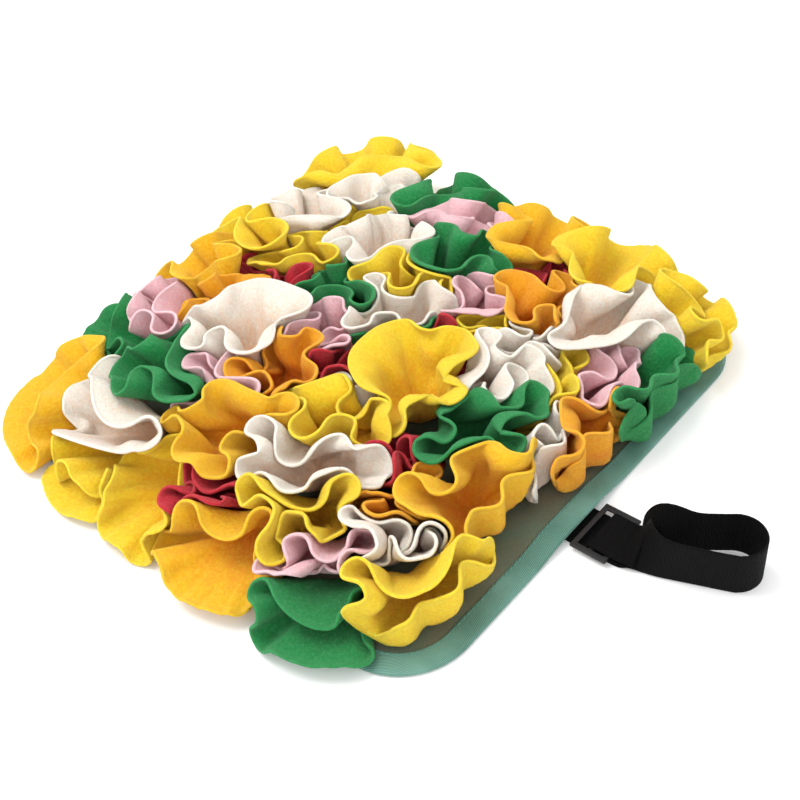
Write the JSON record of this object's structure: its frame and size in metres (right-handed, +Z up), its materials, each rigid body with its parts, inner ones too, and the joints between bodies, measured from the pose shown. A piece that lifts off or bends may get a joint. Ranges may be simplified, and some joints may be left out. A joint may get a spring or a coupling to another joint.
{
  "type": "snuffle mat",
  "caption": "Square snuffle mat of gathered fleece ruffles sewn on a bound base sheet, with an adjustable webbing strap that loops round a furniture leg.",
  "frame": {"origin": "centre of the base sheet's underside, which lies on the floor", "axes": "+Z up from the floor, X and Y along the mat's sides, with the strap leaving across the +X side"},
  "size_m": [0.6047, 0.505, 0.0644],
  "materials": {
    "fleece_lemon": "matte brushed fleece",
    "fleece_gold": "matte brushed fleece",
    "fleece_orange": "matte brushed fleece",
    "fleece_cream": "matte brushed fleece",
    "fleece_pink": "matte brushed fleece",
    "fleece_green": "matte brushed fleece",
    "fleece_red": "matte brushed fleece",
    "base_cloth": "matte plain weave",
    "binding_twill": "satin twill",
    "webbing": "ribbed webbing",
    "slider_plastic": "moulded"
  },
  "bodies": {
    "root": {"base_sheet": "base_cloth", "binding_tape": "binding_twill", "disc_cream_back_bulb": "fleece_cream", "disc_cream_back_left": "fleece_cream", "disc_cream_centre_cup": "fleece_cream", "disc_cream_centre_right": "fleece_cream", "disc_cream_front_curves": "fleece_cream", "disc_cream_front_small": "fleece_cream", "disc_cream_left_double": "fleece_cream", "disc_cream_left_large": "fleece_cream", "disc_cream_right_band": "fleece_cream", "disc_cream_right_large": "fleece_cream", "disc_cream_right_strip": "fleece_cream", "disc_gold_back_petal": "fleece_gold", "disc_gold_back_right": "fleece_gold", "disc_gold_far_left": "fleece_gold", "disc_gold_front_large": "fleece_gold", "disc_gold_left_loops": "fleece_gold", "disc_gold_right_front": "fleece_gold", "disc_green_back_dome": "fleece_green", "disc_green_back_left": "fleece_green", "disc_green_back_square": "fleece_green", "disc_green_centre_cup": "fleece_green", "disc_green_front": "fleece_green", "disc_green_left_cup": "fleece_green", "disc_green_right_leaf": "fleece_green", "disc_green_rosette": "fleece_green", "disc_green_top_lobes": "fleece_green", "disc_lemon_back_leaf": "fleece_lemon", "disc_lemon_back_twin": "fleece_lemon", "disc_lemon_centre": "fleece_lemon", "disc_lemon_centre_back": "fleece_lemon", "disc_lemon_centre_loops": "fleece_lemon", "disc_lemon_front_corner": "fleece_lemon", "disc_lemon_front_fold": "fleece_lemon", "disc_lemon_left_front": "fleece_lemon", "disc_lemon_left_low": "fleece_lemon", "disc_lemon_right_corner": "fleece_lemon", "disc_lemon_right_fold": "fleece_lemon", "disc_lemon_right_run": "fleece_lemon", "disc_lemon_top_dome": "fleece_lemon", "disc_orange_centre_left": "fleece_orange", "disc_orange_front_spiral": "fleece_orange", "disc_orange_left_fold": "fleece_orange", "disc_orange_right_cup": "fleece_orange", "disc_orange_right_low": "fleece_orange", "disc_pink_back_large": "fleece_pink", "disc_pink_centre": "fleece_pink", "disc_pink_centre_back": "fleece_pink", "disc_pink_front_loops": "fleece_pink", "disc_pink_left_broad": "fleece_pink", "disc_pink_left_salmon": "fleece_pink", "disc_pink_right_lobes": "fleece_pink", "disc_red_back": "fleece_red", "disc_red_centre_rosette": "fleece_red", "disc_red_front_rosette": "fleece_red", "disc_red_left_front": "fleece_red", "disc_red_right_back": "fleece_red", "strap_slider": "slider_plastic", "webbing_strap": "webbing"}
  },
  "joints": []
}
